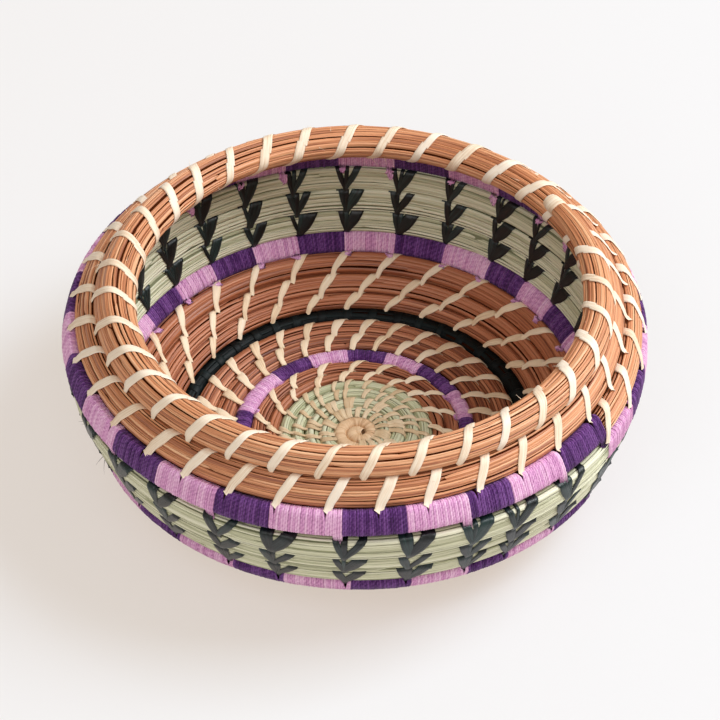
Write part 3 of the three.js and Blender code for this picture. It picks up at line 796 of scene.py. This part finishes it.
# Base ring. A bundle of black dyed raffia laid lengthwise round a needle core, tied down by short
# cross stitches of the same leaf. It is the row that the basket stands on.
RING_STITCH_WIDE = 2.3
RING_STITCH_STEP = 7.2
RING_STRIPS = 13
RING_CORE_DEPTH = 0.7
ring_leaf = raffia_leaf("black_dyed_raffia_laid_flat", "010202", "050C0D", "172829", 0.5, 0.2)
strands = Strands()
heart(strands, OUTER_FLOOR_END, BASE_RING_END, RING_CORE_DEPTH)
strands.finish("base_ring_needle_core", needles_brown, "needles", "base_ring_core")
rng = np.random.default_rng(41)
strands = Strands()
for lane in range(RING_STRIPS):
    u = OUTER_FLOOR_END
    while u < BASE_RING_END:
        end = min(BASE_RING_END, u + turns_of(rng.uniform(40, 110), u))
        at = np.linspace(u, end, max(4, int((end - u) * STEPS)))
        around = 2 * np.pi * (lane + 0.3 * np.sin(at * rng.uniform(20, 60))) / RING_STRIPS
        s, n, face_s, face_n = section(at, around, -rng.uniform(0.1, 0.5))
        strip(strands, at, s, n, face_s, face_n, rng.uniform(1.0, 1.7), rng, rng.uniform(0, 1))
        u = end
wrapped(strands, OUTER_FLOOR_END, BASE_RING_END, RING_STITCH_WIDE, rng,
        gap=RING_STITCH_STEP / RING_STITCH_WIDE, lift=0.06)
strands.finish("base_ring_raffia_strips", ring_leaf, "black_raffia", "base_ring_black_raffia")


# Lower wall. Three rows of needles that lean outwards, sewn with raffia that is widest in the
# middle of each stitch.
bundle("lower_wall_needles", BASE_RING_END, LOWER_WALL_END, needles_brown, "needles", "lower_wall_coil",
       wide=0.9, thick=0.5, lengths=(120, 240), seed=6)
strands = Strands()
sewing(strands, BASE_RING_END, LOWER_WALL_END, per_turn=28.4, lean=0.44, wide=2.3, seed=24,
       hole=1.2, tip=0.62, full=0.45, tail=0.8)
strands.finish("lower_wall_raffia_stitches", shade_warmed_cream_leaf, "cream_raffia", "lower_wall_raffia")


# Lower band and grass wall. Between the two bands of thread lies pale grass, sewn with black
# raffia in fern stitches: in each row a few strips fan out from one hole, the broadest in front.
UPPER_BLOCKS = ((8, 88.8), (3, 37.4), (5, 58.9), (6, 74.9), (1, 13.8), (1, 11.4), (1, 14.3),
                (2, 25.3), (1, 9.4), (2, 25.8))
LOWER_BLOCKS = ((8, 87.2), (3, 38.4), (5, 58.5), (6, 77.0), (1, 13.8), (1, 11.4), (1, 14.3),
                (2, 25.3), (1, 9.4), (2, 24.7))
LOWER_BAND_TABS = (0.4, 1.8, 1.6)
LOWER_BAND_PUFF = (0.8, 0)
grass_dry = dried_stalk("dried_pale_grass", "A1A37C", "DBDABB", "F3F1DB", "85886A", 0.55, 0.9)
black_leaf = raffia_leaf("black_dyed_raffia_leaf", "010202", "060E0F", "2C4846", 0.34, 0.5)
ferns_at = block_edges(LOWER_BAND_END, UPPER_BLOCKS)[:-1]
thread_band("lower_band", block_edges(LOWER_WALL_END, LOWER_BLOCKS), [u - 1 for u in ferns_at],
            LOWER_BAND_TABS, LOWER_BAND_PUFF)
bundle("wall_grass", LOWER_BAND_END, GRASS_WALL_END, grass_dry, "grass", "grass_wall_coil",
       wide=0.8, thick=0.45, lengths=(120, 240), seed=7)


# The strips of a fern: how far each reaches along the row and how wide it is, outside and inside in
# mm, and how often it is there. Then the short strip along the seam: from, to and width.
FERN_FAN = (
    ((-1.9, -1.2), (2.8, 1.8), 1.0),
    ((0.3, 0.7), (1.7, 1.4), 0.85),
    ((5.3, 4.4), (3.6, 3.4), 1.0),
)
FERN_LINK = (-2.7, 0.4, 1.0)
FERN_INSIDE_SHIFT = -1.4
FERN_HOLE = 0.9
FERN_STEPS = 16
TOP_TIER_WIDTH = 0.88
FRAYED_FERNS = (19,) * 5 + (20,) * 3 + (24,)


def fern(strands, u, is_top, rng):
    """One tier of a fern on both faces of its row. Its strips fan out from one hole in the row
    before and go into the next seam, and a short one along that seam joins them."""
    t = np.linspace(0, 1, FERN_STEPS)
    for is_inside in (False, True):
        hand = -1 if is_inside else 1
        base = u + turns_of(rng.normal(FERN_INSIDE_SHIFT if is_inside else 0, 0.25), u)
        for reaches, widths, odds in FERN_FAN:
            if rng.uniform() > odds:
                continue
            far = turns_of(reaches[is_inside] + rng.normal(0, 0.3), u)
            place = base + hand * far * np.clip((t - 0.08) / 0.72, 0, 1)
            s, n, face_s, face_n = over_row(place, t, 0.76, 0.14, FERN_HOLE, 0.14, is_inside)
            own = widths[is_inside] * rng.choice([0.65, 0.9, 1.0, 1.1])
            if is_inside and is_top:
                own *= TOP_TIER_WIDTH
            shape = 0.55 + 0.45 * smooth((t - 0.03) / 0.4)
            strip(strands, place, s, n, face_s, face_n, own * shape, rng, rng.uniform(0, 1))
        if is_top:
            continue
        link_from, link_to, link_wide = FERN_LINK
        place = base + turns_of(np.linspace(link_from, link_to, 8) * hand, u)
        s, n, face_s, face_n = section(place, np.pi * 0.77, STITCH_LIFT)
        if is_inside:
            n, face_n = -n, -face_n
        strip(strands, place, s, n, face_s, face_n, link_wide, rng, rng.uniform(0, 1))


rng = np.random.default_rng(31)
strands = Strands()
for tier in range(3):
    for u in ferns_at:
        fern(strands, u + tier, tier == 2, rng)
loose_fibres(strands, [ferns_at[k] for k in FRAYED_FERNS], (0.7, 1.6), 4.5, rng)
strands.finish("black_raffia_fern_stitches", black_leaf, "black_raffia", "black_raffia_ferns")


# Upper band and rim. The last thread band is the basket's widest row. The rim is the thickest of
# the needle coil, leaning in, and sewn with broad raffia whose lower ends part the thread.
RIM_STITCHES = 35.25
FIRST_ROW_STITCHES = 35
UPPER_BAND_TABS = (0.5, 3.6, 1.6)
UPPER_BAND_PUFF = (0, 0.6)
RIM_SEWN_TO = 20.64
FRAYED_FROM = 18.6
FRAYED_TO = 20.6
RIM_FIBRES = 46
rim_holes = [UPPER_BAND_END + k / RIM_STITCHES - 1 for k in range(FIRST_ROW_STITCHES + 1)]
thread_band("upper_band", block_edges(GRASS_WALL_END, UPPER_BLOCKS), rim_holes, UPPER_BAND_TABS,
            UPPER_BAND_PUFF)
needles_tan = dried_stalk("orange_tan_pine_needles", "8E4C2A", "DA9364", "FACFA4", "4A2210", 0.5, 1.0)
bundle("rim_needles", UPPER_BAND_END, COIL_END, needles_tan, "needles", "rim_coil",
       wide=0.95, thick=0.5, lengths=(130, 250), seed=8)
strands = Strands()
sewing(strands, UPPER_BAND_END, UPPER_BAND_END + 1, per_turn=RIM_STITCHES, lean=0.5, wide=2.85, seed=25,
       hole=0.35, tip=0.8, full=0.35, tail=1.0)
sewing(strands, UPPER_BAND_END + FIRST_ROW_STITCHES / RIM_STITCHES, RIM_SEWN_TO, per_turn=RIM_STITCHES,
       lean=0.5, wide=2.5, seed=26, hole=0.45, tip=0.85, full=0.25, tail=1.0)
loose_fibres(strands, rng.uniform(FRAYED_FROM, FRAYED_TO, RIM_FIBRES), (1.2, 5.0), 3.2, rng)
strands.finish("rim_raffia_stitches", cream_leaf, "cream_raffia", "rim_raffia")


# End of the rim. The last needles taper off, and a few turns of raffia tie them down.
KNOT_FROM = 20.6685
KNOT_TO = COIL_END - 0.0005
KNOT_STRIP_WIDE = 1.5
rng = np.random.default_rng(43)
strands = Strands()
wrapped(strands, KNOT_FROM, KNOT_TO, KNOT_STRIP_WIDE, rng, gap=0.6, lift=0.15)
strands.finish("rim_end_raffia_knot", cream_leaf, "cream_raffia", "rim_end_knot")
